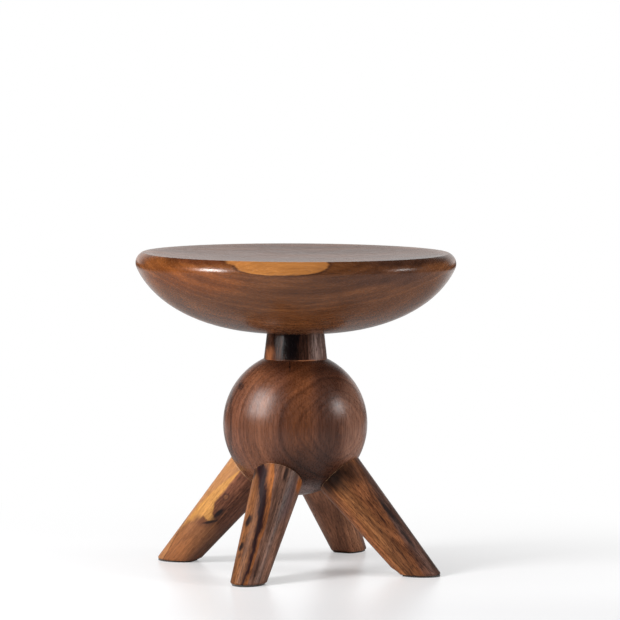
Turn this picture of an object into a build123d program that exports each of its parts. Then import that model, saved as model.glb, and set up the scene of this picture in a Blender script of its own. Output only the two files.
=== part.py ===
from build123d import *
import os
from math import acos, asin, atan2, cos, degrees, radians, sin, sqrt, tan

# Round hardwood stool: a deep turned seat on a short neck, a ball under the neck,
# and four raking conical legs tenoned into the ball. A tie rod draws seat, neck and ball together.
# The legs are bored and shaped by hand, so each has a turn, a splay and a heel of its own.
# Frame: +Z up, origin on the floor under the middle of the ball, -Y the front.
# Lengths are millimetres and angles are degrees.

# Seat
seat_diameter = 454.2
seat_depth = 112.7              # from the top edge down to the neck
rim_overhang = 9.9              # the widest part stands out this far past the top edge
rim_radius = 16.4               # round of the widest part
rim_turn = 25.2                 # how far that round runs on below its widest point
haunch_fullness = 0.686         # pull of the curve under the rim, 0 to 1
belly_fullness = 0.5            # pull of the curve beside the neck, 0 to 1
dish_depth = 10.0
dish_land = 3.0                 # flat ring between the dish and the top edge
top_edge_easing = 0.8

# Neck
neck_height = 38.2
neck_top_radius = 40.6
neck_base_radius = 45.0
upper_spigot_radius = 22.0
upper_spigot_length = 18.0
lower_spigot_radius = 24.0
lower_spigot_length = 28.0

# Ball
ball_radius = 102.5
ball_centre_height = 207.0

# Legs: the turn about the stool's axis, the splay from the vertical,
# and the length of the rounding on the heel, the inner end of the sole
leg_turns = {"front_right": -45.0, "back_right": 43.4, "back_left": 135.0, "front_left": -133.3}
leg_splays = {"front_right": 42.3, "back_right": 42.9, "back_left": 41.1, "front_left": 40.4}
heel_lengths = {"front_right": 12.0, "back_right": 5.0, "back_left": 5.0, "front_left": 7.0}
heel_fullness = 0.9             # of the arc that would run smoothly into sole and side
leg_axis_rise = 5.8             # the four axes meet this far above the ball's centre
leg_shoulder_radius = 34.8
leg_foot_radius = 24.1
shoulder_easing = 1.2
foot_easing = 2.2
tenon_radius = 17.0
tenon_length = 42.0

# Fox wedges, driven into the tenons by the bottoms of their sockets
wedge_length = 26.0
wedge_end_thickness = 4.6
wedge_tip_thickness = 1.4

# Felt pads
pad_thickness = 2.0
pad_inset = 2.4

# Tie rod, with its insert in the seat and its washer and nut under the ball
rod_radius = 6.0
rod_end_chamfer = 1.0
rod_reach = 20.0                # length of rod inside the insert
rod_tail = 4.0                  # length of rod below the nut
insert_wall = 3.0
insert_length = 26.0
insert_flange_width = 4.0
insert_flange_thickness = 2.0
washer_radius = 13.0
washer_thickness = 2.5
nut_wall = 3.0                  # from the rod to each flat
nut_height = 10.0
nut_chamfer = 0.8
plug_length = 12.0

# Dowels that stop the neck turning in the seat and in the ball
dowel_radius = 3.0
dowel_bite = 13.0               # length in each of the two pieces

# Clearances
glue_gap = 0.1                  # round a glued spigot, tenon, dowel or wedge
end_relief = 0.8                # below the end of a spigot, tenon, dowel or insert
rod_clearance = 1.0             # round the rod where it runs through wood
washer_clearance = 0.3          # round the rod inside the washer
counterbore_clearance = 1.5     # round the washer
thread_gap = 0.05               # round the rod inside the nut and the insert
plug_gap = 0.8                  # between the rod's tail and the plug

# Heights that follow
ball_flat_height = ball_centre_height + sqrt(ball_radius**2 - neck_base_radius**2)
seat_underside_height = ball_flat_height + neck_height
seat_height = seat_underside_height + seat_depth
ball_bottom_height = ball_centre_height - ball_radius
upper_spigot_height = seat_underside_height + upper_spigot_length
lower_spigot_height = ball_flat_height - lower_spigot_length

# The tie rod's stack: the insert above the neck, then from the plug up to the washer
insert_mouth_height = upper_spigot_height + end_relief
rod_top_height = insert_mouth_height + rod_reach
plug_top_height = ball_bottom_height + plug_length
rod_bottom_height = plug_top_height + plug_gap
nut_bottom_height = rod_bottom_height + rod_tail
washer_bottom_height = nut_bottom_height + nut_height
counterbore_height = washer_bottom_height + washer_thickness
counterbore_radius = washer_radius + counterbore_clearance
insert_radius = rod_radius + insert_wall

# The dowels stand midway between the spigot and the neck's edge
seat_dowel_circle_radius = (upper_spigot_radius + neck_top_radius) / 2
ball_dowel_circle_radius = (lower_spigot_radius + neck_base_radius) / 2

leg_focus_height = ball_centre_height + leg_axis_rise

upward = (Align.CENTER, Align.CENTER, Align.MIN)


def upright(radius, low, high):
    # a cylinder on the stool's axis, between two heights
    return Pos(0, 0, low) * Cylinder(radius, high - low, align=upward)


def ball_form():
    return Pos(0, 0, ball_centre_height) * Sphere(ball_radius)


# Seat

def seat_section():
    # half of the section: dish, flat ring, round of the rim, one easy curve in to the neck
    rim_centre_radius = seat_diameter / 2 - rim_radius
    top_radius = seat_diameter / 2 - rim_overhang
    edge_offset = top_radius - rim_centre_radius
    rim_centre_height = seat_height - sqrt(rim_radius**2 - edge_offset**2)
    edge_angle = degrees(acos(edge_offset / rim_radius))
    rim = CenterArc((rim_centre_radius, rim_centre_height), rim_radius, edge_angle, -edge_angle - rim_turn)

    haunch_start = rim @ 1
    neck_edge = Vector(neck_top_radius, seat_underside_height)
    inward = Vector(-sin(radians(rim_turn)), -cos(radians(rim_turn)))
    corner = haunch_start + inward * ((haunch_start.Y - neck_edge.Y) / -inward.Y)
    underside = Bezier(
        haunch_start,
        haunch_start + (corner - haunch_start) * haunch_fullness,
        neck_edge + (corner - neck_edge) * belly_fullness,
        neck_edge,
    )

    dish_edge_radius = top_radius - dish_land
    dish_sphere = (dish_edge_radius**2 + dish_depth**2) / (2 * dish_depth)
    dish_angle = degrees(asin(dish_edge_radius / dish_sphere))
    dish_middle = (0, seat_height - dish_depth)
    dish = CenterArc((0, dish_middle[1] + dish_sphere), dish_sphere, -90, dish_angle)

    outline = [
        dish,
        Line(dish @ 1, rim @ 0),
        rim,
        underside,
        Line(neck_edge, (0, seat_underside_height)),
        Line((0, seat_underside_height), dish_middle),
    ]
    return Plane.XZ * make_face(outline)


def make_seat():
    seat = revolve(seat_section(), Axis.Z)
    top_edge = max(
        seat.edges().filter_by(GeomType.CIRCLE).group_by(Axis.Z)[-1],
        key=lambda edge: edge.length,
    )
    seat = fillet(top_edge, top_edge_easing)
    insert_top_height = insert_mouth_height + insert_length + end_relief
    flange_top_height = insert_mouth_height + insert_flange_thickness
    seat -= upright(upper_spigot_radius + glue_gap, seat_underside_height, insert_mouth_height)
    seat -= upright(insert_radius, insert_mouth_height, insert_top_height)
    seat -= upright(insert_radius + insert_flange_width, insert_mouth_height, flange_top_height)
    return seat - seat_dowels(glue_gap, end_relief)


# Neck, its spigots and its dowels

def make_neck():
    outline = Polyline(
        (0, lower_spigot_height),
        (lower_spigot_radius, lower_spigot_height),
        (lower_spigot_radius, ball_flat_height),
        (neck_base_radius, ball_flat_height),
        (neck_top_radius, seat_underside_height),
        (upper_spigot_radius, seat_underside_height),
        (upper_spigot_radius, upper_spigot_height),
        (0, upper_spigot_height),
        close=True,
    )
    neck = revolve(Plane.XZ * make_face(outline), Axis.Z)
    neck -= upright(rod_radius + rod_clearance, lower_spigot_height, upper_spigot_height)
    return neck - seat_dowels(glue_gap, end_relief) - ball_dowels(glue_gap, end_relief)


def dowel_pair(circle_radius, joint_height, azimuth, gap, relief):
    # two upright pins across a joint, one on each side of the axis
    pin = Pos(circle_radius, 0, joint_height) * Cylinder(dowel_radius + gap, 2 * (dowel_bite + relief))
    return [Rot(0, 0, azimuth + turn) * pin for turn in (0, 180)]


def seat_dowels(gap=0.0, relief=0.0):
    return dowel_pair(seat_dowel_circle_radius, seat_underside_height, 0, gap, relief)


def ball_dowels(gap=0.0, relief=0.0):
    return dowel_pair(ball_dowel_circle_radius, ball_flat_height, 90, gap, relief)


# Legs, their wedges and their felt pads

class LegLayout:
    # distances run down the leg's axis, from the point where the four axes meet

    def __init__(self, name):
        self.turn = leg_turns[name]
        self.splay = radians(leg_splays[name])
        self.heel_length = heel_lengths[name]
        outward = Vector(cos(radians(self.turn)), sin(radians(self.turn)), 0)
        self.axis = outward * sin(self.splay) - Vector(0, 0, cos(self.splay))
        # z runs down the leg and x is level
        self.plane = Plane((0, 0, leg_focus_height), x_dir=(-outward.Y, outward.X, 0), z_dir=self.axis)

        rise_along = leg_axis_rise * cos(self.splay)
        rise_across = leg_axis_rise * sin(self.splay)
        self.shoulder = rise_along + sqrt(ball_radius**2 - rise_across**2)
        self.floor = leg_focus_height / cos(self.splay)
        self.taper = (leg_shoulder_radius - leg_foot_radius) / (self.floor - self.shoulder)
        self.tenon_end = self.shoulder - tenon_length
        self.tenon_root = self.shoulder + tenon_radius / 2

        # the sole is an ellipse, with its inner end further from the axis than its outer end
        cut_height = leg_focus_height - pad_thickness
        self.cut_radius = self.radius_at(cut_height / cos(self.splay))
        self.lean = sin(self.splay) * self.taper
        self.inner_reach = self.cut_radius / (cos(self.splay) - self.lean)
        self.outer_reach = self.cut_radius / (cos(self.splay) + self.lean)
        self.sole_centre = cut_height * tan(self.splay)

    def radius_at(self, distance):
        return leg_shoulder_radius - self.taper * (distance - self.shoulder)

    def cylinder(self, radius, start, end):
        return self.plane * Pos(0, 0, start) * Cylinder(radius, end - start, align=upward)


def wedge_form(leg, gap):
    # a slip across the whole tenon, thick at the tenon's end and thin at its tip
    end_half = wedge_end_thickness / 2 + gap
    tip_half = wedge_tip_thickness / 2 + gap
    tip_distance = leg.tenon_end + wedge_length + gap
    level = leg.plane.x_dir
    side = Plane(leg.plane.origin, x_dir=level, z_dir=level.cross(leg.plane.z_dir))
    slip = Polygon(
        (-end_half, leg.tenon_end),
        (end_half, leg.tenon_end),
        (tip_half, tip_distance),
        (-tip_half, tip_distance),
        align=None,
    )
    return extrude(side * slip, tenon_radius, both=True)


def make_wedge(leg):
    return wedge_form(leg, 0) & leg.cylinder(tenon_radius, leg.tenon_end, leg.tenon_root)


def heel_waste(leg):
    # what the rounding takes off, drawn in the leg's upright plane: x outward, y up
    corner = Vector(leg.sole_centre - leg.inner_reach, pad_thickness)
    along_side = Vector(-(sin(leg.splay) + leg.taper * cos(leg.splay)), cos(leg.splay) - leg.lean).normalized()
    on_sole = corner + Vector(leg.heel_length, 0)
    on_side = corner + along_side * leg.heel_length
    side_rise = atan2(along_side.Y, -along_side.X)
    sagitta = heel_fullness * leg.heel_length * cos(side_rise / 2) * tan(side_rise / 4)
    beyond = corner + (corner - (on_sole + on_side) / 2).normalized() * leg.heel_length
    outline = [
        Line(beyond, on_sole),
        SagittaArc(on_sole, on_side, -sagitta),
        Line(on_side, beyond),
    ]
    upright_plane = Plane.XZ.rotated((0, 0, leg.turn))
    return extrude(upright_plane * make_face(outline), leg_foot_radius, both=True)


def make_leg(leg):
    # a cone coped to the ball, cut level above its pad, with a round tenon split for the wedge
    start = leg.tenon_end
    end = leg.floor + leg_foot_radius * tan(leg.splay)
    cone = leg.plane * Pos(0, 0, start) * Cone(
        leg.radius_at(start),
        leg.radius_at(end),
        end - start,
        align=upward,
    )
    body = split(cone, Plane.XY.offset(pad_thickness), keep=Keep.TOP) - ball_form()
    body = fillet(body.edges().group_by(Axis.Z)[-1], shoulder_easing)
    body = fillet(body.edges().group_by(Axis.Z)[0], foot_easing)
    body -= heel_waste(leg)
    body += leg.cylinder(tenon_radius, leg.tenon_end, leg.tenon_root)
    return body - wedge_form(leg, glue_gap)


def make_pad(leg):
    # the sole's ellipse, drawn in a little and cut off straight at the heel
    shift = (leg.outer_reach - leg.inner_reach) / 2
    half_length = (leg.outer_reach + leg.inner_reach) / 2
    half_width = sqrt((leg.cut_radius - leg.lean * shift) ** 2 - (shift * cos(leg.splay)) ** 2)
    outline = Pos(shift, 0) * Ellipse(half_length - pad_inset, half_width - pad_inset)
    heel_end = leg.heel_length + pad_inset - leg.inner_reach
    outline &= Pos(heel_end + half_length, 0) * Rectangle(2 * half_length, 2 * half_width)
    return Rot(0, 0, leg.turn) * Pos(leg.sole_centre, 0, 0) * extrude(outline, pad_thickness)


# Ball and the plug under it

def make_ball():
    ball = split(ball_form(), Plane.XY.offset(ball_flat_height), keep=Keep.BOTTOM)
    ball -= upright(lower_spigot_radius + glue_gap, lower_spigot_height - end_relief, ball_flat_height)
    ball -= upright(rod_radius + rod_clearance, ball_bottom_height, ball_flat_height)
    ball -= upright(counterbore_radius, ball_bottom_height, counterbore_height)
    for leg in legs.values():
        ball -= leg.cylinder(tenon_radius + glue_gap, leg.tenon_end - end_relief, leg.tenon_root)
    return ball - ball_dowels(glue_gap, end_relief)


def make_plug():
    # its lower end is turned to the ball's own curve
    return upright(counterbore_radius - glue_gap, ball_bottom_height, plug_top_height) & ball_form()


# Tie rod and its fittings

def make_rod():
    rod = upright(rod_radius, rod_bottom_height, rod_top_height)
    return chamfer(rod.edges().filter_by(GeomType.CIRCLE), rod_end_chamfer)


def make_insert():
    insert = upright(insert_radius, insert_mouth_height, insert_mouth_height + insert_length)
    insert += upright(
        insert_radius + insert_flange_width,
        insert_mouth_height,
        insert_mouth_height + insert_flange_thickness,
    )
    return insert - upright(rod_radius + thread_gap, insert_mouth_height, insert_mouth_height + insert_length)


def make_washer():
    washer = upright(washer_radius, washer_bottom_height, counterbore_height)
    return washer - upright(rod_radius + washer_clearance, washer_bottom_height, counterbore_height)


def make_nut():
    flats = RegularPolygon(rod_radius + nut_wall, 6, major_radius=False)
    nut = Pos(0, 0, nut_bottom_height) * extrude(flats, nut_height)
    corner_radius = (rod_radius + nut_wall) / cos(radians(30))
    turned = upright(corner_radius, nut_bottom_height, washer_bottom_height)
    nut &= chamfer(turned.edges().filter_by(GeomType.CIRCLE), nut_chamfer)
    return nut - upright(rod_radius + thread_gap, nut_bottom_height, washer_bottom_height)


legs = {name: LegLayout(name) for name in leg_turns}
pieces = {
    "seat": make_seat(),
    "neck": make_neck(),
    "ball": make_ball(),
    "tie_rod": make_rod(),
    "seat_insert": make_insert(),
    "rod_washer": make_washer(),
    "rod_nut": make_nut(),
    "ball_plug": make_plug(),
    "seat_dowels": Compound(children=seat_dowels()),
    "ball_dowels": Compound(children=ball_dowels()),
}
for name, leg in legs.items():
    pieces[f"leg_{name}"] = make_leg(leg)
    pieces[f"wedge_{name}"] = make_wedge(leg)
    pieces[f"pad_{name}"] = make_pad(leg)

os.makedirs("parts", exist_ok=True)
for name, piece in pieces.items():
    piece.label = name
    export_step(piece, f"parts/{name}.step")

print(f"seat height {seat_height:.1f}")
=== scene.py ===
import math

import bpy
from mathutils import Matrix, Vector

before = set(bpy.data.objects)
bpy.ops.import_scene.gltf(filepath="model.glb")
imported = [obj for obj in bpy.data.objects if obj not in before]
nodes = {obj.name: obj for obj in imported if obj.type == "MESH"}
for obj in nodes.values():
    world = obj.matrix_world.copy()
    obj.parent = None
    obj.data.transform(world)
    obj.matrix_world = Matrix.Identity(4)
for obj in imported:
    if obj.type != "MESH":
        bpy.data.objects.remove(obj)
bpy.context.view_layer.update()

scene = bpy.context.scene
scene.view_settings.view_transform = "Standard"

cameraSetup = {
    "azimuth": -22.24,       # degrees round the stool from the front, to the left of it when negative
    "distance": 5.5545,      # metres, level, from the stool's axis
    "height": 0.7894,
    "tiltDown": 4.337,
    "panRight": 0.209,
    "roll": 0.255,           # turns the picture's right side down
    "lens": 228.1,
    "sensor": 36.0,
    "clipNear": 0.1,
    "clipFar": 60.0,
}


def makeCamera(setup):
    data = bpy.data.cameras.new("stoolCamera")
    data.sensor_width = setup["sensor"]
    data.lens = setup["lens"]
    data.clip_start = setup["clipNear"]
    data.clip_end = setup["clipFar"]
    camera = bpy.data.objects.new("stoolCamera", data)
    scene.collection.objects.link(camera)
    azimuth = math.radians(setup["azimuth"])
    reach = setup["distance"]
    camera.location = (reach * math.sin(azimuth), -reach * math.cos(azimuth), setup["height"])
    pan = Matrix.Rotation(math.radians(setup["azimuth"] - setup["panRight"]), 3, "Z")
    pitch = Matrix.Rotation(math.radians(90 - setup["tiltDown"]), 3, "X")
    roll = Matrix.Rotation(math.radians(setup["roll"]), 3, "Z")
    camera.rotation_euler = (pan @ pitch @ roll).to_euler()
    scene.camera = camera


makeCamera(cameraSetup)
print("camera placed")


def tone(red, green, blue):
    # a screen colour, 0 to 255, as the linear colour that shaders use
    linear = [
        c / 12.92 if c <= 0.04045 else ((c + 0.055) / 1.055) ** 2.4
        for c in (red / 255, green / 255, blue / 255)
    ]
    return (*linear, 1.0)


def plug(tree, node, inputs):
    for key, value in inputs.items():
        if isinstance(value, bpy.types.NodeSocket):
            tree.links.new(value, node.inputs[key])
        else:
            node.inputs[key].default_value = value


def add(tree, kind, inputs=None, **settings):
    node = tree.nodes.new(kind)
    for key, value in settings.items():
        setattr(node, key, value)
    plug(tree, node, inputs or {})
    return node


def calc(tree, operation, first, second=0.0, third=0.0):
    node = add(tree, "ShaderNodeMath", {0: first, 1: second, 2: third}, operation=operation)
    return node.outputs[0]


def vectorCalc(tree, operation, first, second=(0.0, 0.0, 0.0), output=0):
    node = add(tree, "ShaderNodeVectorMath", {0: first, 1: second}, operation=operation)
    return node.outputs[output]


def ramp(tree, value, low, high, start=0.0, end=1.0):
    # an eased step from start to end while value runs from low to high
    node = add(tree, "ShaderNodeMapRange", {
        "Value": value, "From Min": low, "From Max": high, "To Min": start, "To Max": end,
    }, interpolation_type="SMOOTHSTEP")
    return node.outputs["Result"]


def noise(tree, vector, detail=2.0, roughness=0.5):
    return add(tree, "ShaderNodeTexNoise", {
        "Vector": vector, "Scale": 1.0, "Detail": detail, "Roughness": roughness,
    })


def blend(tree, factor, first, second, mode="MIX"):
    node = add(tree, "ShaderNodeMix", {0: factor, 6: first, 7: second}, data_type="RGBA", blend_type=mode)
    return node.outputs[2]


def newGroup(name, inputs, outputs):
    group = bpy.data.node_groups.new(name, "ShaderNodeTree")
    for label, kind, default in inputs:
        socket = group.interface.new_socket(name=label, in_out="INPUT", socket_type="NodeSocket" + kind)
        if default is not None:
            socket.default_value = default
    for label, kind in outputs:
        group.interface.new_socket(name=label, in_out="OUTPUT", socket_type="NodeSocket" + kind)
    return group, group.nodes.new("NodeGroupInput").outputs, group.nodes.new("NodeGroupOutput")


def useGroup(tree, group, inputs):
    node = tree.nodes.new("ShaderNodeGroup")
    node.node_tree = group
    plug(tree, node, inputs)
    return node.outputs


# The noise behind each part of the figure: cells a metre along the grain and across it, detail, roughness.
growth = {
    "wander": (3.0, 8.0, 2.0, 0.5),
    "curl": (9.0, 55.0, 2.0, 0.5),
    "waver": (38.0, 150.0, 3.0, 0.6),
    "cloud": (7.0, 26.0, 3.0, 0.55),
    "mediumFibre": (22.0, 440.0, 2.0, 0.6),
    "fineFibre": (90.0, 1150.0, 2.0, 0.6),
    "fineVessel": (130.0, 1100.0, 0.0, 0.5),
    "openVessel": (75.0, 560.0, 1.0, 0.5),
    "mediumShare": 0.6,        # of the fibres; the fine ones are the rest
    "finePore": (0.62, 0.72),  # where in its noise a pore begins, and where it is full
    "openPore": (0.65, 0.74),
    "bandScale": 0.55,         # growth bands a ring
    "bandDetail": 3.0,
    "bandRoughness": 0.62,
    "bandShift": 1.6,          # rings that a band moves the lines by
    "lateWood": (0.45, 0.92),  # where in a ring its dark line begins, and where it is full
    "lateEnd": (1.0, 0.94),    # and where it has gone again
}
noiseMiddle = 0.5


def makeLogFigure(setup):
    # The growth of a log, in metres: x runs along the grain, and Pith is where the middle of the log lies.
    group, given, made = newGroup("logFigure", [
        ("Vector", "Vector", None),
        ("Pith", "Vector", (0.0, 0.0, 0.0)),
        ("Ring Width", "Float", 0.006),
        ("Wander", "Float", 0.012),
        ("Curl", "Float", 0.002),
    ], [
        ("Bands", "Float"), ("Lines", "Float"), ("Fibres", "Float"),
        ("Pores", "Float"), ("Cloud", "Float"), ("Waver", "Float"),
    ])
    place = given["Vector"]

    def stretched(source, part):
        along, across, detail, roughness = setup[part]
        return noise(group, vectorCalc(group, "MULTIPLY", source, (along, across, across)), detail, roughness)

    def drift(part, amount):
        centred = vectorCalc(group, "SUBTRACT", stretched(place, part).outputs["Color"], (noiseMiddle,) * 3)
        return add(group, "ShaderNodeVectorMath", {0: centred, "Scale": amount}, operation="SCALE").outputs[0]

    moved = vectorCalc(group, "ADD", place, drift("wander", given["Wander"]))
    moved = vectorCalc(group, "ADD", moved, drift("curl", given["Curl"]))
    fromPith = vectorCalc(group, "SUBTRACT", moved, given["Pith"])
    acrossLog = vectorCalc(group, "MULTIPLY", fromPith, (0.0, 1.0, 1.0))
    depth = vectorCalc(group, "LENGTH", acrossLog, output="Value")
    rings = calc(group, "DIVIDE", depth, given["Ring Width"])
    bands = add(group, "ShaderNodeTexNoise", {
        "W": rings, "Scale": setup["bandScale"], "Detail": setup["bandDetail"],
        "Roughness": setup["bandRoughness"],
    }, noise_dimensions="1D").outputs[0]
    shifted = calc(group, "ADD", rings, calc(group, "MULTIPLY", bands, setup["bandShift"]))
    late = calc(group, "FRACT", shifted)
    begun = ramp(group, late, *setup["lateWood"])
    lines = calc(group, "MULTIPLY", begun, ramp(group, late, *setup["lateEnd"]))
    share = setup["mediumShare"]
    medium = calc(group, "MULTIPLY", stretched(moved, "mediumFibre").outputs[0], share)
    fine = calc(group, "MULTIPLY", stretched(moved, "fineFibre").outputs[0], 1.0 - share)
    fineVessel = ramp(group, stretched(moved, "fineVessel").outputs[0], *setup["finePore"])
    openVessel = ramp(group, stretched(moved, "openVessel").outputs[0], *setup["openPore"])
    plug(group, made, {
        "Bands": bands, "Lines": lines, "Fibres": calc(group, "ADD", medium, fine),
        "Pores": calc(group, "MAXIMUM", fineVessel, openVessel),
        "Cloud": stretched(moved, "cloud").outputs[0],
        "Waver": calc(group, "SUBTRACT", stretched(place, "waver").outputs[0], noiseMiddle),
    })
    return group


def makeGrainTone():
    # Deepens a ground colour by the figure: slow clouds, growth bands and lines, fibres and pores.
    group, given, made = newGroup("grainTone", [
        ("Ground", "Color", (0.2, 0.1, 0.05, 1.0)),
        ("Shade", "Color", (0.3, 0.24, 0.22, 1.0)),
        ("Bands", "Float", 0.5), ("Lines", "Float", 0.0), ("Fibres", "Float", 0.5),
        ("Pores", "Float", 0.0), ("Cloud", "Float", 0.5),
        ("Band Strength", "Float", 0.3), ("Line Strength", "Float", 0.25),
        ("Fibre Strength", "Float", 0.3), ("Pore Strength", "Float", 0.5),
        ("Cloud Strength", "Float", 0.25),
    ], [("Color", "Color")])
    colour = given["Ground"]
    # each effect deepens the colour as its value goes from the first number to the second
    for value, strength, low, high in (
        ("Cloud", "Cloud Strength", 0.66, 0.36),
        ("Bands", "Band Strength", 0.64, 0.36),
        ("Lines", "Line Strength", 0.0, 1.0),
        ("Fibres", "Fibre Strength", 0.62, 0.38),
        ("Pores", "Pore Strength", 0.0, 1.0),
    ):
        pull = calc(group, "MULTIPLY", ramp(group, given[value], low, high), given[strength])
        colour = blend(group, pull, colour, given["Shade"], "MULTIPLY")
    plug(group, made, {"Color": colour})
    return group


def makeVeinMask():
    # A dark or pale layer that runs along the grain. Its middle leaves Middle at Start with Slope and Bend,
    # and runs straight once it has gone Run metres. Its width shrinks by Narrowing all the way.
    group, given, made = newGroup("veinMask", [
        ("Vector", "Vector", None), ("Waver", "Float", 0.0),
        ("Start", "Float", 0.1), ("Run", "Float", 0.2), ("Middle", "Float", 0.0),
        ("Slope", "Float", 0.0), ("Bend", "Float", 0.0),
        ("Width", "Float", 0.004), ("Narrowing", "Float", 0.0),
        ("Ragged", "Float", 0.002), ("Soft", "Float", 0.0008),
    ], [("Mask", "Float")])
    axes = add(group, "ShaderNodeSeparateXYZ", {0: given["Vector"]}).outputs
    past = calc(group, "SUBTRACT", axes["X"], given["Start"])
    gone = calc(group, "MINIMUM", past, given["Run"])
    turned = calc(group, "MULTIPLY", gone, calc(group, "MULTIPLY_ADD", gone, given["Bend"], given["Slope"]))
    middle = calc(group, "ADD", given["Middle"], turned)
    strayed = calc(group, "MULTIPLY_ADD", given["Waver"], given["Ragged"], axes["Y"])
    offset = calc(group, "ABSOLUTE", calc(group, "SUBTRACT", strayed, middle))
    lost = calc(group, "MULTIPLY", past, given["Narrowing"])
    half = calc(group, "MULTIPLY", calc(group, "SUBTRACT", given["Width"], lost), 0.5)
    outer = calc(group, "ADD", half, given["Soft"])
    inner = calc(group, "SUBTRACT", half, given["Soft"])
    plug(group, made, {"Mask": ramp(group, offset, outer, inner)})
    return group


def makePatchMask():
    # A rounded spot round Centre, squarer as Corner grows past 2. Lean slants it across the grain.
    # Rim is a thin band just outside it. Its edges are counted in Soft from the spot's own edge.
    group, given, made = newGroup("patchMask", [
        ("Vector", "Vector", None), ("Waver", "Float", 0.0),
        ("Centre", "Vector", (0.0, 0.0, 0.0)), ("Size", "Vector", (0.01, 0.01, 0.01)),
        ("Corner", "Float", 2.0), ("Lean", "Float", 0.0), ("Ragged", "Float", 0.5), ("Soft", "Float", 0.15),
    ], [("Mask", "Float"), ("Rim", "Float")])
    offset = vectorCalc(group, "SUBTRACT", given["Vector"], given["Centre"])
    along = add(group, "ShaderNodeSeparateXYZ", {0: offset}).outputs["X"]
    slant = calc(group, "MULTIPLY", along, given["Lean"])
    leant = add(group, "ShaderNodeCombineXYZ", {"Y": slant}).outputs[0]
    reach = vectorCalc(group, "DIVIDE", vectorCalc(group, "SUBTRACT", offset, leant), given["Size"])
    axes = add(group, "ShaderNodeSeparateXYZ", {0: vectorCalc(group, "ABSOLUTE", reach)}).outputs
    powers = [calc(group, "POWER", axes[axis], given["Corner"]) for axis in "XYZ"]
    total = calc(group, "ADD", calc(group, "ADD", powers[0], powers[1]), powers[2])
    distance = calc(group, "POWER", total, calc(group, "DIVIDE", 1.0, given["Corner"]))
    distance = calc(group, "MULTIPLY_ADD", given["Waver"], given["Ragged"], distance)
    outside = calc(group, "DIVIDE", calc(group, "SUBTRACT", distance, 1.0), given["Soft"])
    rim = calc(group, "MULTIPLY", ramp(group, outside, -0.5, 1.0), ramp(group, outside, 3.0, 1.0))
    plug(group, made, {"Mask": ramp(group, outside, 1.0, -1.0), "Rim": rim})
    return group


def makeGlueAndGlintLine():
    # The pale line of glue and filler where a piece is coped to the ball, with a painted highlight of the
    # coped edge in it.
    # It reaches Width out from the ball, to an edge that wavers and is soft for a third of that each way.
    group, given, made = newGroup("jointLine", [
        ("Vector", "Vector", None), ("Waver", "Float", 0.0),
        ("Centre", "Vector", (0.0, 0.0, 0.0)), ("Radius", "Float", 0.1), ("Width", "Float", 0.001),
    ], [("Mask", "Float")])
    reach = vectorCalc(group, "DISTANCE", given["Vector"], given["Centre"], output="Value")
    clear = calc(group, "DIVIDE", calc(group, "SUBTRACT", reach, given["Radius"]), given["Width"])
    clear = calc(group, "MULTIPLY_ADD", given["Waver"], 1.5, clear)
    plug(group, made, {"Mask": ramp(group, clear, 1.3, 0.7)})
    return group


logFigure = makeLogFigure(growth)
grainTone = makeGrainTone()
veinMask = makeVeinMask()
patchMask = makePatchMask()
jointLine = makeGlueAndGlintLine()
print("shared effects built")


# A layer's strength runs from 0 to 1. With over, it lies over the figure and takes little of its shading.
def vein(colour, strength, start, middle, width, run=0.2, slope=0.0, bend=0.0, narrowing=0.0,
         ragged=0.002, soft=0.0008, over=False):
    values = {
        "Start": start, "Run": run, "Middle": middle, "Slope": slope, "Bend": bend, "Width": width,
        "Narrowing": narrowing, "Ragged": ragged, "Soft": soft,
    }
    return {
        "group": veinMask, "values": values, "colour": colour, "strength": strength, "over": over,
        "rim": None, "matt": 0.0,
    }


def patch(colour, strength, centre, size, corner=2.0, lean=0.0, ragged=0.5, soft=0.15, rim=None, over=False,
          matt=0.0):
    # rim is the colour of a thin edge, and matt is what the patch adds to the roughness
    values = {
        "Centre": centre, "Size": size, "Corner": corner, "Lean": lean, "Ragged": ragged, "Soft": soft,
    }
    return {
        "group": patchMask, "values": values, "colour": colour, "strength": strength, "over": over,
        "rim": rim, "matt": matt,
    }


def newMaterial(name):
    material = bpy.data.materials.new(name)
    material.use_nodes = True
    material.node_tree.nodes.clear()
    return material, material.node_tree


def logPlace(tree, origin, grain, side):
    # coordinates in a piece: x along the grain, y towards side, z square to both
    xAxis = Vector(grain).normalized()
    zAxis = xAxis.cross(Vector(side)).normalized()
    yAxis = zAxis.cross(xAxis)
    turn = Matrix((xAxis, yAxis, zAxis)).transposed().to_euler()
    place = add(tree, "ShaderNodeTexCoord").outputs["Object"]
    return add(tree, "ShaderNodeMapping", {
        "Vector": place, "Location": tuple(origin), "Rotation": tuple(turn),
    }, vector_type="TEXTURE").outputs[0]


# what all the woods have in common
woodFinish = {
    "rimStrength": 0.8,
    "fibreStart": 0.3,       # where in the fibres the oil starts to be duller
    "fibreEnd": 0.7,
    "glossiest": -0.04,      # added to the roughness between the fibres
    "dullest": 0.05,         # and on them
    "fibreHeight": 0.6,      # of a pore's depth
    "reliefDepth": 0.0002,
}
ballJoint = {
    "centre": (0.0, 0.0, 0.207), "radius": 0.1025, "width": 0.0013,
    "least": 0.15, "most": 0.75,             # how strongly the line shows, by the clouds in the wood
    "leastCloud": 0.42, "mostCloud": 0.6,
}
# the little of the figure that shows on layers that lie over it
faintFigure = {"Cloud": 0.2, "Band": 0.15, "Line": 0.08, "Fibre": 0.25, "Pore": 0.2}


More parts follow.
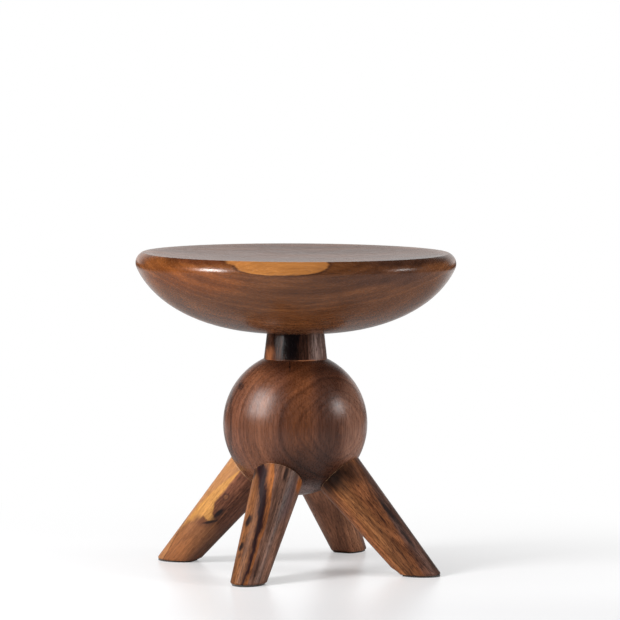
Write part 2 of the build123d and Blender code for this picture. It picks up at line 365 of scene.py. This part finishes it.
def woodMaterial(name, wood):
    material, tree = newMaterial(name)
    place = logPlace(tree, wood["origin"], wood["grain"], wood["side"])
    figure = useGroup(tree, logFigure, {
        "Vector": place, "Pith": wood["pith"], "Ring Width": wood["ringWidth"], "Wander": wood["wander"],
    })
    dull = []

    def painted(colour, over):
        # layers under the figure take its shading, and those over it, sapwood and black veins, hardly do
        for layer in wood["layers"]:
            if layer["over"] != over:
                continue
            mask = useGroup(tree, layer["group"], {
                "Vector": place, "Waver": figure["Waver"], **layer["values"],
            })
            if layer["rim"]:
                rimShare = calc(tree, "MULTIPLY", mask["Rim"], woodFinish["rimStrength"])
                colour = blend(tree, rimShare, colour, layer["rim"])
            share = calc(tree, "MULTIPLY", mask["Mask"], layer["strength"])
            colour = blend(tree, share, colour, layer["colour"])
            if layer["matt"]:
                dull.append(calc(tree, "MULTIPLY", mask["Mask"], layer["matt"]))
        return colour

    def grained(colour, strengths):
        return useGroup(tree, grainTone, {
            "Ground": colour, "Shade": wood["shade"],
            **{effect + " Strength": value for effect, value in strengths.items()},
            **{effect: figure[effect] for effect in ("Bands", "Lines", "Fibres", "Pores", "Cloud")},
        })[0]

    ground = add(tree, "ShaderNodeRGB").outputs[0]
    ground.default_value = wood["ground"]
    colour = grained(painted(ground, False), wood["figure"])
    colour = grained(painted(colour, True), wood["overFigure"])
    # the pale line round the cope: glue, and a painted highlight of the coped edge
    if "joint" in wood:
        line = useGroup(tree, jointLine, {
            "Vector": add(tree, "ShaderNodeTexCoord").outputs["Object"], "Waver": figure["Waver"],
            "Centre": ballJoint["centre"], "Radius": ballJoint["radius"], "Width": ballJoint["width"],
        })["Mask"]
        patchy = ramp(tree, figure["Cloud"], ballJoint["leastCloud"], ballJoint["mostCloud"],
                      ballJoint["least"], ballJoint["most"])
        colour = blend(tree, calc(tree, "MULTIPLY", line, patchy), colour, wood["joint"])
    # satin oil: rougher in the pores, with the fibres just felt
    roughness = calc(tree, "MULTIPLY_ADD", figure["Pores"], wood["poreRoughness"], wood["roughness"])
    fibreGloss = ramp(tree, figure["Fibres"], woodFinish["fibreStart"], woodFinish["fibreEnd"],
                      woodFinish["glossiest"], woodFinish["dullest"])
    roughness = calc(tree, "ADD", roughness, fibreGloss)
    for amount in dull:
        roughness = calc(tree, "ADD", roughness, amount)
    fibreRise = calc(tree, "MULTIPLY", figure["Fibres"], woodFinish["fibreHeight"])
    height = calc(tree, "SUBTRACT", fibreRise, figure["Pores"])
    bump = add(tree, "ShaderNodeBump", {
        "Strength": wood["relief"], "Distance": woodFinish["reliefDepth"], "Height": height,
    })
    shader = add(tree, "ShaderNodeBsdfPrincipled", {
        "Base Color": colour, "Roughness": roughness, "Normal": bump.outputs[0],
        "Specular IOR Level": wood["gloss"],
    })
    plug(tree, add(tree, "ShaderNodeOutputMaterial"), {0: shader.outputs[0]})
    return material


def dress(nodeName, material):
    piece = nodes[nodeName]
    if not piece.material_slots:
        piece.data.materials.append(material)
    for materialSlot in piece.material_slots:
        materialSlot.material = material


acrossView = (0.9256, -0.3785, 0.0)      # level, along the front of the seat as it was turned from the log
awayFromView = (0.3785, 0.9256, 0.0)
upward = (0.0, 0.0, 1.0)

# The seat lies flat in a wide log: x across the front, y to the back, z up, from the floor under the stool.
seatLook = {
    "origin": (0.0, 0.0, 0.0), "grain": acrossView, "side": awayFromView,
    "pith": (0.0, 0.076, -0.084), "ringWidth": 0.006, "wander": 0.02,
    "ground": tone(132, 81, 44), "shade": tone(136, 116, 108),
    "figure": {"Cloud": 0.24, "Band": 0.19, "Line": 0.1, "Fibre": 0.15, "Pore": 0.12},
    "overFigure": faintFigure, "roughness": 0.24, "poreRoughness": 0.08, "relief": 0.1, "gloss": 0.5,
    "layers": [
        patch(tone(96, 58, 36), 0.6, (0.0, -0.07, 0.343), (0.10, 0.09, 0.018), soft=0.7),
        # the dish on top is a little deeper in colour and duller than the turned side
        patch(tone(112, 66, 42), 0.3, (0.0, 0.0, 0.455), (0.208, 0.208, 0.03), ragged=0.0, soft=0.03,
              matt=0.035),
        patch(tone(132, 76, 34), 0.95, (-0.21, -0.07, 0.432), (0.085, 0.12, 0.026), soft=0.4),
        patch(tone(144, 76, 20), 0.65, (-0.13, -0.16, 0.422), (0.07, 0.08, 0.02), soft=0.5),
        patch(tone(140, 86, 42), 0.5, (0.055, -0.215, 0.449), (0.055, 0.04, 0.014), soft=0.35),
        patch(tone(68, 44, 36), 0.8, (0.16, -0.15, 0.449), (0.085, 0.12, 0.0085), soft=0.5),
        patch(tone(92, 60, 48), 0.65, (0.13, -0.17, 0.427), (0.085, 0.09, 0.012), ragged=1.2, soft=0.7),
        patch(tone(98, 52, 28), 0.85, (-0.128, -0.17, 0.449), (0.045, 0.06, 0.006), soft=0.4),
        patch(tone(70, 42, 28), 0.5, (-0.018, -0.232, 0.4505), (0.062, 0.036, 0.0225), corner=2.4, ragged=0.1,
              soft=0.1),
        patch(tone(194, 128, 64), 0.9, (-0.0235, -0.232, 0.4505), (0.0705, 0.036, 0.0185),
              corner=2.6, ragged=0.1, soft=0.035, rim=tone(84, 50, 30), over=True),
        patch(tone(190, 124, 64), 0.85, (-0.080, -0.213, 0.4505), (0.0185, 0.024, 0.006), soft=0.2,
              over=True),
    ],
}
dress("seat", woodMaterial("seatWood", seatLook))

# The neck and the ball stand on end: x up, y across the front, z to the back.
neckLook = {
    "origin": (0.0, 0.0, 0.318), "grain": upward, "side": acrossView,
    "pith": (0.0, 0.12, 0.06), "ringWidth": 0.006, "wander": 0.01,
    "ground": tone(162, 114, 92), "shade": tone(112, 94, 88),
    "figure": {"Cloud": 0.3, "Band": 0.5, "Line": 0.4, "Fibre": 0.5, "Pore": 0.5},
    "overFigure": faintFigure, "roughness": 0.16, "poreRoughness": 0.1, "relief": 0.2, "gloss": 0.42,
    # the pale line at the cope: glue, and a painted highlight of its edge
    "joint": tone(184, 118, 80),
    "layers": [
        vein(tone(150, 84, 42), 0.7, -0.03, -0.031, 0.006, ragged=0.008, soft=0.002),
        vein(tone(60, 32, 22), 0.9, -0.03, 0.005, 0.030, ragged=0.01, soft=0.004),
        # black heartwood, made wider towards the top as painted shade under the seat
        vein(tone(18, 9, 13), 0.95, -0.02, -0.0125, 0.017, slope=0.14, narrowing=-0.26, ragged=0.02,
             soft=0.004, over=True),
        patch(tone(64, 36, 26), 0.8, (0.014, -0.026, -0.03), (0.014, 0.006, 0.02), ragged=1.8, soft=0.6),
        vein(tone(62, 42, 36), 0.6, -0.03, 0.0245, 0.003, ragged=0.01, soft=0.001),
        # painted sheen: a pale band down the right side of the neck
        patch(tone(214, 182, 170), 0.95, (0.0, 0.031, -0.02), (0.04, 0.010, 0.03), soft=0.6),
        patch(tone(206, 128, 80), 0.75, (-0.0125, -0.0365, -0.018), (0.013, 0.006, 0.02), ragged=1.5,
              soft=0.5, over=True),
    ],
}
dress("neck", woodMaterial("neckWood", neckLook))

ballLook = {
    "origin": (0.0, 0.0, 0.207), "grain": upward, "side": acrossView,
    "pith": (0.0, -0.17, 0.24), "ringWidth": 0.0045, "wander": 0.02,
    "ground": tone(122, 76, 54), "shade": tone(128, 106, 98),
    "figure": {"Cloud": 0.28, "Band": 0.26, "Line": 0.18, "Fibre": 0.19, "Pore": 0.1},
    "overFigure": faintFigure, "roughness": 0.28, "poreRoughness": 0.1, "relief": 0.2, "gloss": 0.5,
    "layers": [
        vein(tone(158, 100, 66), 0.6, -0.1, -0.052, 0.036, ragged=0.012, soft=0.012),
        # painted sheen: a pale band towards the right of the ball, for the fill lamp's glow
        vein(tone(194, 142, 116), 0.7, -0.1, 0.084, 0.030, ragged=0.012, soft=0.01),
        vein(tone(142, 84, 46), 0.6, -0.1, 0.006, 0.034, ragged=0.012, soft=0.009),
        # painted shade: darker low on the front of the ball
        patch(tone(58, 29, 17), 0.9, (-0.072, 0.008, -0.06), (0.045, 0.036, 0.06), soft=0.6),
        # painted reflection: pale grey at the bottom of the ball, for the floor seen in it
        patch(tone(176, 146, 138), 0.7, (-0.108, 0.0, 0.0), (0.034, 0.08, 0.1), soft=0.4),
        # painted shadow: darker at the top of the ball under the seat
        patch(tone(70, 34, 18), 0.6, (0.09, 0.0, -0.045), (0.02, 0.06, 0.03), soft=0.6),
        vein(tone(72, 44, 34), 0.6, -0.1, 0.042, 0.028, ragged=0.012, soft=0.01),
        vein(tone(56, 36, 30), 0.6, -0.1, -0.091, 0.0035, ragged=0.004, soft=0.002),
        patch(tone(56, 36, 32), 0.7, (0.056, -0.077, -0.04), (0.005, 0.005, 0.02), soft=0.4),
        patch(tone(48, 26, 22), 0.8, (0.085, -0.008, -0.054), (0.008, 0.0012, 0.02), soft=0.4),
    ],
}
dress("ball", woodMaterial("ballWood", ballLook))
dress("ball_plug", woodMaterial("plugWood", {**ballLook, "ground": tone(104, 64, 48), "layers": []}))

# Each leg is split from its own billet: x down the leg from where the four axes meet,
# y across the face that faceTurn picks, z out of that face.
legFocus = (0.0, 0.0, 0.2128)
legShared = {
    "origin": legFocus, "wander": 0.01, "ringWidth": 0.005, "shade": tone(110, 92, 84),
    "figure": {"Cloud": 0.3, "Band": 0.4, "Line": 0.3, "Fibre": 0.5, "Pore": 0.6},
    "overFigure": {"Cloud": 0.2, "Band": 0.15, "Line": 0.08, "Fibre": 0.3, "Pore": 0.35},
    # the last colour is the pale line at the cope: glue, and a painted highlight of its edge
    "roughness": 0.36, "poreRoughness": 0.2, "relief": 0.5, "gloss": 0.25, "joint": tone(206, 160, 124),
}
blackVein = tone(32, 10, 17)
sapwood = tone(216, 155, 83)
legLooks = {
    "leg_front_left": {
        "turn": -133.3, "splay": 40.4, "faceTurn": -24.8, "pith": (0.0, 0.09, 0.02),
        "ground": tone(150, 108, 88),
        "figure": {"Cloud": 0.3, "Band": 0.25, "Line": 0.15, "Fibre": 0.32, "Pore": 0.34},
        "layers": [
            patch(tone(176, 128, 104), 0.5, (0.225, 0.019, 0.018), (0.045, 0.012, 0.02), soft=0.6),
            patch(tone(140, 116, 118), 0.6, (0.146, 0.022, 0.024), (0.034, 0.006, 0.02), ragged=1.2,
                  soft=0.6),
            vein(tone(162, 103, 58), 0.95, 0.107, -0.045, 0.05, run=0.12, slope=0.3, bend=-1.2, soft=0.002),
            vein(tone(200, 122, 62), 0.92, 0.107, -0.0155, 0.0135, run=0.11, slope=0.22, bend=-1.0,
                 narrowing=0.04, ragged=0.005),
            vein(tone(66, 42, 30), 0.35, 0.107, 0.0, 0.0075, run=0.11, slope=0.1, bend=-0.4, narrowing=0.01,
                 ragged=0.007, soft=0.002),
            vein(tone(70, 52, 46), 0.4, 0.107, 0.021, 0.004, run=0.2, slope=-0.04, ragged=0.008, soft=0.002),
            patch(tone(70, 42, 32), 0.8, (0.264, 0.005, 0.024), (0.022, 0.0035, 0.01), ragged=1.2, soft=0.6),
            patch(tone(50, 32, 28), 0.85, (0.112, 0.0085, 0.034), (0.012, 0.0022, 0.01), ragged=0.9,
                  soft=0.4),
            vein(tone(88, 52, 36), 0.6, 0.107, -0.0262, 0.0185, run=0.128, slope=0.32, bend=-1.25,
                 narrowing=0.05, ragged=0.012, soft=0.003, over=True),
            vein(blackVein, 0.96, 0.107, -0.0262, 0.0115, run=0.128, slope=0.32, bend=-1.25,
                 narrowing=0.04, ragged=0.011, soft=0.0018, over=True),
            patch(tone(190, 110, 52), 0.85, (0.112, 0.031, 0.014), (0.012, 0.004, 0.014), soft=0.4),
            patch(tone(48, 30, 26), 0.85, (0.110, -0.034, 0.004), (0.008, 0.006, 0.012), soft=0.4, over=True),
            patch(tone(40, 25, 24), 0.97, (0.192, -0.0235, 0.0188), (0.0095, 0.0045, 0.008),
                  ragged=1.0, soft=0.35, over=True),
            patch(tone(34, 21, 21), 0.97, (0.233, -0.0235, 0.0144), (0.0075, 0.0035, 0.007),
                  ragged=1.0, soft=0.35, over=True),
            patch(tone(70, 42, 30), 0.7, (0.2475, -0.0215, 0.015), (0.0045, 0.0024, 0.006),
                  ragged=1.0, soft=0.3, over=True),
            patch(tone(66, 40, 31), 0.55, (0.234, -0.0171, 0.021), (0.026, 0.0034, 0.008),
                  ragged=1.6, soft=0.45, over=True),
        ],
    },
    "leg_front_right": {
        "turn": -45.0, "splay": 42.3, "faceTurn": 68.9, "pith": (0.0, -0.03, -0.08),
        "ground": tone(195, 124, 77),
        "figure": {"Cloud": 0.3, "Band": 0.35, "Line": 0.3, "Fibre": 0.42, "Pore": 0.5},
        "layers": [
            vein(tone(176, 118, 70), 0.7, 0.2, -0.01, 0.02, run=0.1, ragged=0.006, soft=0.006),
            vein(tone(118, 90, 82), 0.88, 0.155, 0.0523, 0.06, run=0.14, slope=-0.147, ragged=0.012,
                 soft=0.003),
            patch(tone(112, 66, 42), 0.65, (0.262, 0.002, 0.025), (0.055, 0.015, 0.02), soft=0.6),
            patch(tone(36, 24, 25), 0.85, (0.192, 0.0205, 0.022), (0.026, 0.0028, 0.01), ragged=1.2,
                  soft=0.5),
            patch(tone(44, 30, 28), 0.85, (0.232, 0.0168, 0.02), (0.020, 0.0021, 0.01), ragged=1.2,
                  soft=0.5),
            # painted shade: the next two darken the top of the leg by the ball, under the ball and seat
            patch(tone(50, 28, 18), 0.85, (0.103, -0.014, 0.03), (0.017, 0.026, 0.02), soft=0.6),
            patch(tone(60, 34, 22), 0.6, (0.115, 0.004, 0.034), (0.022, 0.03, 0.02), soft=0.5),
            patch(tone(70, 42, 28), 0.4, (0.168, 0.0074, 0.03), (0.022, 0.0011, 0.01), ragged=1.2,
                  soft=0.5),
            patch(tone(56, 33, 24), 0.75, (0.194, 0.0068, 0.029), (0.010, 0.0012, 0.01), ragged=1.2,
                  soft=0.5),
            patch(tone(64, 38, 24), 0.8, (0.248, -0.0027, 0.026), (0.022, 0.0011, 0.01), soft=0.5),
        ],
    },
    "leg_back_right": {
        "turn": 43.4, "splay": 42.9, "faceTurn": 145.3, "pith": (0.0, 0.05, -0.06),
        # a paler wood, with its ground made paler still as painted light against the shade this leg stands in
        "ground": tone(174, 117, 86),
        "figure": {"Cloud": 0.3, "Band": 0.3, "Line": 0.2, "Fibre": 0.35, "Pore": 0.35},
        "layers": [
            vein(tone(196, 136, 98), 0.5, 0.15, 0.014, 0.016, run=0.15, ragged=0.006, soft=0.005),
        ],
    },
    "leg_back_left": {
        "turn": 135.0, "splay": 41.1, "faceTurn": -103.6, "pith": (0.0, 0.07, -0.02),
        "ground": tone(150, 94, 68),
        "figure": {"Cloud": 0.3, "Band": 0.3, "Line": 0.2, "Fibre": 0.35, "Pore": 0.45},
        "layers": [
            patch(tone(172, 108, 64), 0.95, (0.29, 0.0, 0.02), (0.108, 0.016, 0.06), corner=3.0, soft=0.3),
            vein(sapwood, 0.92, 0.107, -0.0415, 0.06, ragged=0.006, soft=0.0018, over=True),
            patch(tone(146, 95, 61), 0.97, (0.29, 0.004, 0.02), (0.0985, 0.034, 0.06), corner=2.4,
                  ragged=0.2, soft=0.09, over=True),
            patch(tone(112, 68, 50), 0.55, (0.2015, -0.010, 0.03), (0.007, 0.011, 0.02), lean=-0.6,
                  ragged=1.2, soft=0.7, over=True),
            patch(tone(166, 104, 60), 0.7, (0.29, -0.006, 0.02), (0.06, 0.02, 0.06), soft=0.5, over=True),
            patch(tone(92, 60, 46), 0.8, (0.29, 0.030, 0.0), (0.11, 0.018, 0.06), corner=3.0, soft=0.3,
                  over=True),
            patch(sapwood, 0.92, (0.176, -0.0135, 0.03), (0.012, 0.0085, 0.02), lean=0.35, ragged=0.6,
                  soft=0.2, over=True),
            patch(sapwood, 0.92, (0.1865, -0.0055, 0.03), (0.006, 0.0100, 0.02), ragged=0.6, soft=0.25,
                  over=True),
            vein(tone(184, 128, 84), 0.8, 0.2, -0.0373, 0.024, run=0.1, bend=1.25, ragged=0.003, over=True),
            patch(tone(70, 46, 38), 0.7, (0.178, 0.0034, 0.031), (0.018, 0.0042, 0.01), ragged=1.2, soft=0.8,
                  over=True),
            patch(tone(36, 27, 28), 0.95, (0.1725, 0.0034, 0.031), (0.0085, 0.0026, 0.01), lean=-0.15,
                  ragged=0.9, soft=0.5, over=True),
            patch(tone(46, 32, 30), 0.92, (0.1915, 0.0024, 0.03), (0.0090, 0.0023, 0.01), lean=-0.72,
                  ragged=0.8, soft=0.5, over=True),
            patch(tone(150, 100, 66), 0.6, (0.1461, -0.0036, 0.032), (0.0042, 0.0030, 0.01),
                  ragged=1.0, soft=0.3, rim=tone(84, 54, 42), over=True),
            vein(tone(92, 56, 36), 0.7, 0.24, -0.0237, 0.0012, run=0.1, slope=0.19, soft=0.0003, over=True),
        ],
    },
}


def legAxes(look):
    turn = math.radians(look["turn"])
    splay = math.radians(look["splay"])
    face = math.radians(look["faceTurn"])
    outward = Vector((math.cos(turn), math.sin(turn), 0.0))
    level = Vector((-math.sin(turn), math.cos(turn), 0.0))
    grain = outward * math.sin(splay) - Vector(upward) * math.cos(splay)
    upper = outward * math.cos(splay) + Vector(upward) * math.sin(splay)
    return grain, level * math.cos(face) + upper * math.sin(face)


for nodeName, look in legLooks.items():
    grain, side = legAxes(look)
    dress(nodeName, woodMaterial(nodeName + "_wood", {**legShared, **look, "grain": grain, "side": side}))
print("turned wood finished")

# Wedges and dowels are of a plain pale wood, and none is seen on the finished stool.
innerLook = {
    "origin": legFocus, "pith": (0.0, 0.05, 0.02), "ringWidth": 0.002, "wander": 0.006,
    "ground": tone(196, 160, 118), "shade": tone(170, 140, 120),
    "figure": {"Cloud": 0.2, "Band": 0.35, "Line": 0.4, "Fibre": 0.35, "Pore": 0.3},
    "overFigure": faintFigure, "roughness": 0.55, "poreRoughness": 0.2, "relief": 0.5, "gloss": 0.4,
    "layers": [],
}
dowelWood = woodMaterial("dowelWood", {**innerLook, "grain": upward, "side": acrossView})
dress("seat_dowels", dowelWood)
dress("ball_dowels", dowelWood)
for nodeName, look in legLooks.items():
    grain, side = legAxes(look)
    wedgeName = nodeName.replace("leg_", "wedge_")
    dress(wedgeName, woodMaterial(wedgeName + "_wood", {**innerLook, "grain": grain, "side": side}))
print("inner wood finished")

feltLook = {
    "ground": tone(46, 43, 41), "light": tone(84, 79, 75),
    "tuft": 900.0,                               # tufts a metre
    "lightStart": 0.4, "lightEnd": 0.68,         # where in a tuft its light fibres begin and are full
    "roughness": 0.95, "sheen": 0.4, "relief": 0.8, "depth": 0.0006,
}


def feltMaterial(name, felt):
    material, tree = newMaterial(name)
    place = add(tree, "ShaderNodeTexCoord").outputs["Object"]
    packed = vectorCalc(tree, "MULTIPLY", place, (felt["tuft"],) * 3)
    tufts = noise(tree, packed, detail=4.0, roughness=0.7).outputs[0]
    light = ramp(tree, tufts, felt["lightStart"], felt["lightEnd"])
    colour = blend(tree, light, felt["ground"], felt["light"])
    bump = add(tree, "ShaderNodeBump", {
        "Strength": felt["relief"], "Distance": felt["depth"], "Height": tufts,
    })
    shader = add(tree, "ShaderNodeBsdfPrincipled", {
        "Base Color": colour, "Roughness": felt["roughness"], "Normal": bump.outputs[0],
        "Sheen Weight": felt["sheen"],
    })
    plug(tree, add(tree, "ShaderNodeOutputMaterial"), {0: shader.outputs[0]})
    return material


felt = feltMaterial("padFelt", feltLook)
for nodeName in nodes:
    if nodeName.startswith("pad_"):
        dress(nodeName, felt)

steelLook = {"bright": tone(196, 198, 204), "dull": tone(150, 150, 150), "roughness": 0.22, "spangle": 260.0}
brassLook = {"bright": tone(206, 176, 104), "dull": tone(150, 116, 62), "roughness": 0.24, "spangle": 180.0}
metalFinish = {
    "dullStart": 0.4, "dullEnd": 0.7,            # where in a spangle the dull colour begins and is full
    "dullRoughness": 0.22,                       # the most that a spangle adds to the roughness
    "turning": (60.0, 60.0, 2600.0),             # tool marks round the upright axis
    "relief": 0.25, "depth": 0.0001,
}


def metalMaterial(name, metal):
    material, tree = newMaterial(name)
    place = add(tree, "ShaderNodeTexCoord").outputs["Object"]
    cells = vectorCalc(tree, "MULTIPLY", place, (metal["spangle"],) * 3)
    bloom = noise(tree, cells, detail=3.0, roughness=0.6).outputs[0]
    turned = noise(tree, vectorCalc(tree, "MULTIPLY", place, metalFinish["turning"]), detail=1.0).outputs[0]
    dull = ramp(tree, bloom, metalFinish["dullStart"], metalFinish["dullEnd"])
    colour = blend(tree, dull, metal["bright"], metal["dull"])
    roughness = calc(tree, "MULTIPLY_ADD", bloom, metalFinish["dullRoughness"], metal["roughness"])
    bump = add(tree, "ShaderNodeBump", {
        "Strength": metalFinish["relief"], "Distance": metalFinish["depth"], "Height": turned,
    })
    shader = add(tree, "ShaderNodeBsdfPrincipled", {
        "Base Color": colour, "Roughness": roughness, "Metallic": 1.0, "Normal": bump.outputs[0],
    })
    plug(tree, add(tree, "ShaderNodeOutputMaterial"), {0: shader.outputs[0]})
    return material


steel = metalMaterial("zincSteel", steelLook)
for nodeName in ("tie_rod", "rod_washer", "rod_nut"):
    dress(nodeName, steel)
dress("seat_insert", metalMaterial("insertBrass", brassLook))
print("felt and metal finished")

white = (1.0, 1.0, 1.0, 1.0)
studio = {
    "floorHalf": 30.0,
    "bounceColour": (0.86, 0.86, 0.87, 1.0),     # the paper as it throws light on the wood
    "seenColour": (0.62, 0.62, 0.626, 1.0),      # as the camera sees it
    "nearShadeColour": (0.54, 0.54, 0.548, 1.0),      # painted shade of the stool, a little deeper towards the camera
    "nearStart": -0.15,
    "nearEnd": -0.45,
    "glossColour": (0.32, 0.32, 0.325, 1.0),     # and as a gloss shows it near the stool
    "floorRoughness": 0.3,
    "floorLift": 0.22,       # white that the camera sees added to the floor, so that shadows stay light
    "fadeCentre": (-0.155, -0.39, 0.0),
    "fadeStart": 0.36,       # the floor turns into plain white between these distances from there
    "fadeEnd": 1.2,
    "glossStart": 0.9,       # and in a gloss between these, counted from the stool
    "glossEnd": 2.2,
    "paperHalfWidth": 1.2,   # as a gloss shows it; beyond it the room is dark
    "sideSoft": 0.3,
    "paperFront": -0.9,
    "frontSoft": 0.4,
    "skyLow": 0.3,           # the light on the wood from low down, and from above
    "skyHigh": 0.8,
    "skyStart": -0.1,        # heights on the sky, from -1 to 1, between which it grows
    "skyEnd": 0.8,
    "frontShade": 0.05,      # how bright the dark side of the room looks in a gloss
    "wallStart": 0.78,       # how straight away from the camera its white wall begins, and where it is full
    "wallEnd": 0.93,
    "highShade": 0.2,        # how bright the wall still is towards the ceiling
    "highStart": 0.05,
    "highEnd": 0.5,
}

# Each side has one lamp that lights the wood and casts the shadows, and two that are only seen in its gloss.
# The seat has the small low ones to itself, so that its flat top doesn't mirror a large lamp when it is seen
# from the side opposite that lamp.
lamps = {
    "keyLamp": {"azimuth": 60.0, "elevation": 29.0, "size": 0.6, "power": 44.0, "gloss": None},
    "keyGloss": {"azimuth": 64.0, "elevation": 27.0, "size": 1.1, "power": 29.0, "gloss": "under the seat"},
    "keyRim": {"azimuth": 59.0, "elevation": 13.0, "size": 0.4, "power": 24.0, "gloss": "seat"},
    "fillLamp": {"azimuth": -78.0, "elevation": 20.0, "size": 0.5, "power": 13.5, "gloss": None},
    "fillGloss": {"azimuth": -78.0, "elevation": 20.0, "size": 0.5, "power": 6.5, "gloss": "under the seat"},
    "fillRim": {"azimuth": -78.0, "elevation": 12.0, "size": 0.25, "power": 3.0, "gloss": "seat"},
}
lampTarget = Vector((0, 0, 0.25))
mattDistance = 2.0       # metres from there
glossDistance = 1.8


def makeFloor(setup):
    half = setup["floorHalf"]
    corners = [(-half, -half, 0), (half, -half, 0), (half, half, 0), (-half, half, 0)]
    mesh = bpy.data.meshes.new("floor")
    mesh.from_pydata(corners, [], [(0, 1, 2, 3)])
    floor = bpy.data.objects.new("floor", mesh)
    scene.collection.objects.link(floor)
    material, tree = newMaterial("floorPaper")
    path = add(tree, "ShaderNodeLightPath").outputs
    place = add(tree, "ShaderNodeTexCoord").outputs["Object"]
    away = vectorCalc(tree, "DOT_PRODUCT", place, awayFromView, output="Value")
    paper = blend(tree, path["Is Glossy Ray"], setup["bounceColour"], setup["glossColour"])
    # painted shadow and reflection of the stool: the floor deepens towards the camera
    near = ramp(tree, away, setup["nearStart"], setup["nearEnd"])
    seen = blend(tree, near, setup["seenColour"], setup["nearShadeColour"])
    shader = add(tree, "ShaderNodeBsdfPrincipled", {
        "Base Color": blend(tree, path["Is Camera Ray"], paper, seen),
        "Roughness": setup["floorRoughness"], "Emission Color": white,
        "Emission Strength": calc(tree, "MULTIPLY", path["Is Camera Ray"], setup["floorLift"]),
    })
    distance = vectorCalc(tree, "DISTANCE", place, setup["fadeCentre"], output="Value")
    clear = calc(tree, "MAXIMUM", path["Is Camera Ray"], path["Is Transmission Ray"])
    fade = ramp(tree, distance, setup["fadeStart"], setup["fadeEnd"])
    backdrop = add(tree, "ShaderNodeEmission", {"Color": white, "Strength": 1.0})
    plain = add(tree, "ShaderNodeMixShader", {
        0: calc(tree, "MULTIPLY", clear, fade), 1: shader.outputs[0], 2: backdrop.outputs[0],
    })
    across = calc(tree, "ABSOLUTE", vectorCalc(tree, "DOT_PRODUCT", place, acrossView, output="Value"))
    edge = setup["paperHalfWidth"]
    front = setup["paperFront"]
    withinSides = ramp(tree, across, edge + setup["sideSoft"], edge - setup["sideSoft"])
    behindFront = ramp(tree, away, front - setup["frontSoft"], front + setup["frontSoft"])
    onPaper = calc(tree, "MULTIPLY", withinSides, behindFront)
    inGloss = add(tree, "ShaderNodeEmission", {
        "Color": white, "Strength": ramp(tree, onPaper, 0.0, 1.0, setup["frontShade"], 1.0),
    })
    fromStool = vectorCalc(tree, "LENGTH", place, output="Value")
    far = ramp(tree, fromStool, setup["glossStart"], setup["glossEnd"])
    mirrored = calc(tree, "MULTIPLY", path["Is Glossy Ray"], far)
    mixed = add(tree, "ShaderNodeMixShader", {0: mirrored, 1: plain.outputs[0], 2: inGloss.outputs[0]})
    plug(tree, add(tree, "ShaderNodeOutputMaterial"), {0: mixed.outputs[0]})
    mesh.materials.append(material)


def makeWorld(setup):
    # white all round to look at; in a gloss the room is dark in front of the stool and white behind it
    world = bpy.data.worlds.new("studioWorld")
    world.use_nodes = True
    tree = world.node_tree
    tree.nodes.clear()
    path = add(tree, "ShaderNodeLightPath").outputs
    direction = add(tree, "ShaderNodeTexCoord").outputs["Generated"]
    height = add(tree, "ShaderNodeSeparateXYZ", {0: direction}).outputs["Z"]
    away = vectorCalc(tree, "DOT_PRODUCT", direction, awayFromView, output="Value")
    wall = ramp(tree, away, setup["wallStart"], setup["wallEnd"], setup["frontShade"], 1.0)
    falling = ramp(tree, height, setup["highStart"], setup["highEnd"], 1.0, setup["highShade"])
    inGloss = calc(tree, "MULTIPLY", wall, falling)
    onMatt = ramp(tree, height, setup["skyStart"], setup["skyEnd"], setup["skyLow"], setup["skyHigh"])
    strength = add(tree, "ShaderNodeMix", {0: path["Is Glossy Ray"], 2: onMatt, 3: inGloss},
                   data_type="FLOAT").outputs[0]
    clear = calc(tree, "MAXIMUM", path["Is Camera Ray"], path["Is Transmission Ray"])
    strength = calc(tree, "MAXIMUM", strength, clear)
    background = add(tree, "ShaderNodeBackground", {"Color": white, "Strength": strength})
    plug(tree, add(tree, "ShaderNodeOutputWorld"), {0: background.outputs[0]})
    scene.world = world


def makeLamp(name, setup):
    data = bpy.data.lights.new(name, "AREA")
    data.shape = "SQUARE"
    data.size = setup["size"]
    data.energy = setup["power"]
    lamp = bpy.data.objects.new(name, data)
    scene.collection.objects.link(lamp)
    lamp.visible_glossy = bool(setup["gloss"])
    lamp.visible_diffuse = not setup["gloss"]
    turn = math.radians(cameraSetup["azimuth"] - setup["azimuth"])    # counted to the left of the camera
    lift = math.radians(setup["elevation"])
    away = Vector((math.sin(turn) * math.cos(lift), -math.cos(turn) * math.cos(lift), math.sin(lift)))
    lamp.location = lampTarget + away * (glossDistance if setup["gloss"] else mattDistance)
    lamp.rotation_euler = away.to_track_quat("Z", "Y").to_euler()
    return lamp


def lightOnly(lamp, pieces):
    lit = bpy.data.collections.new(lamp.name + "Lit")
    for piece in pieces:
        lit.objects.link(piece)
    lamp.light_linking.receiver_collection = lit


makeFloor(studio)
makeWorld(studio)
glossPieces = {
    "seat": [nodes["seat"]],
    "under the seat": [piece for name, piece in nodes.items() if name != "seat"],
}
for lampName, setup in lamps.items():
    lamp = makeLamp(lampName, setup)
    if setup["gloss"]:
        lightOnly(lamp, glossPieces[setup["gloss"]])
print("studio set")
